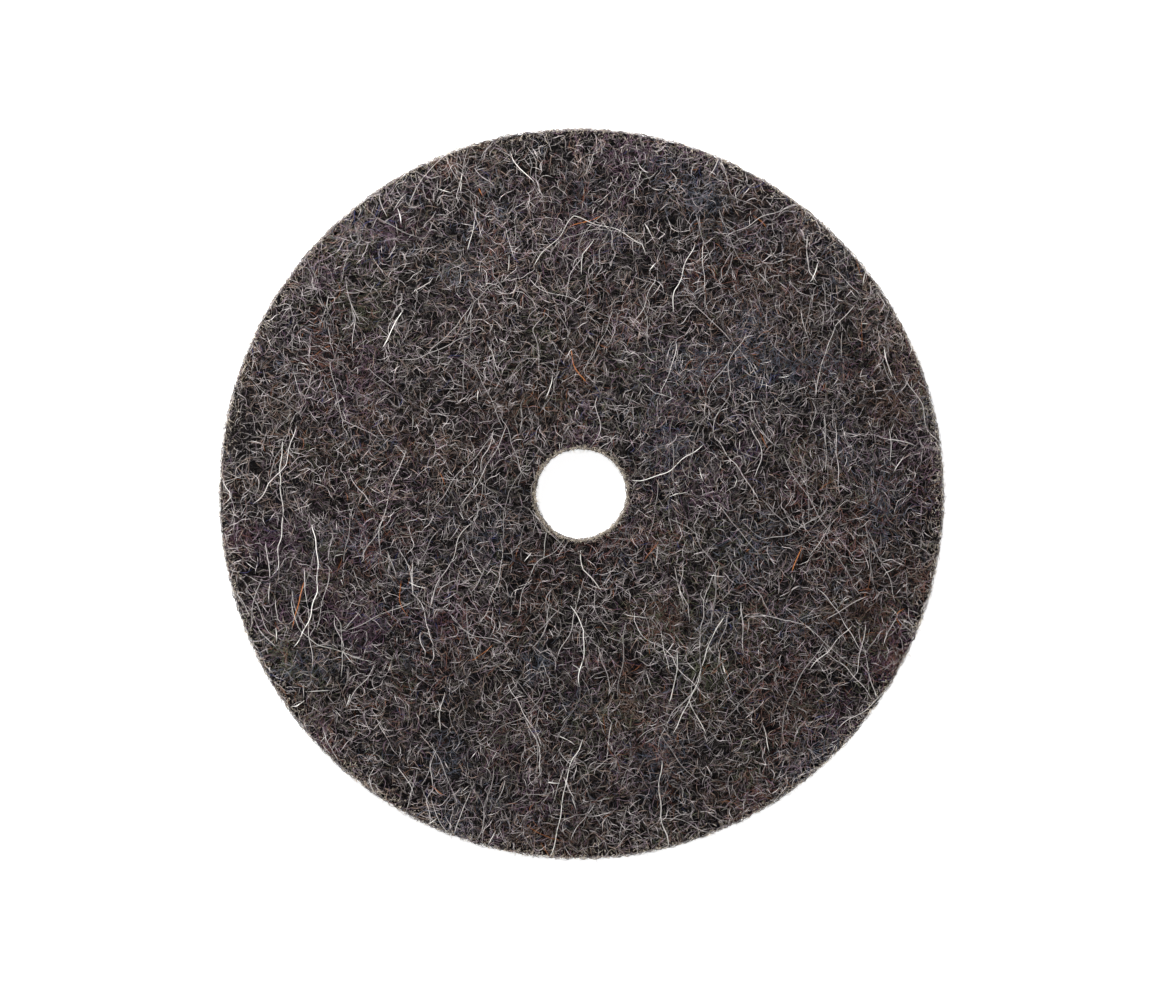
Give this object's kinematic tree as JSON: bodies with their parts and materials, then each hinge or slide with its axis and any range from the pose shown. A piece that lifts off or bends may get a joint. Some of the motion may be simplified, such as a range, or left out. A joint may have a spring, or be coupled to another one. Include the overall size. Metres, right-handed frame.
{
  "type": "felt polishing wheel",
  "caption": "Flat round disc of thick grey wool felt with a plain arbor hole through its middle, for polishing stone.",
  "frame": {"origin": "centre of the disc's back face, on the axis of the arbor hole", "axes": "+Z along the arbor hole's axis, from the back face to the polishing face; the disc is the same all round, so X and Y are any two directions in its plane"},
  "size_m": [0.1016, 0.1016, 0.0063],
  "materials": {
    "felt": "matte"
  },
  "bodies": {
    "root": {"felt_disc": "felt"}
  },
  "joints": []
}
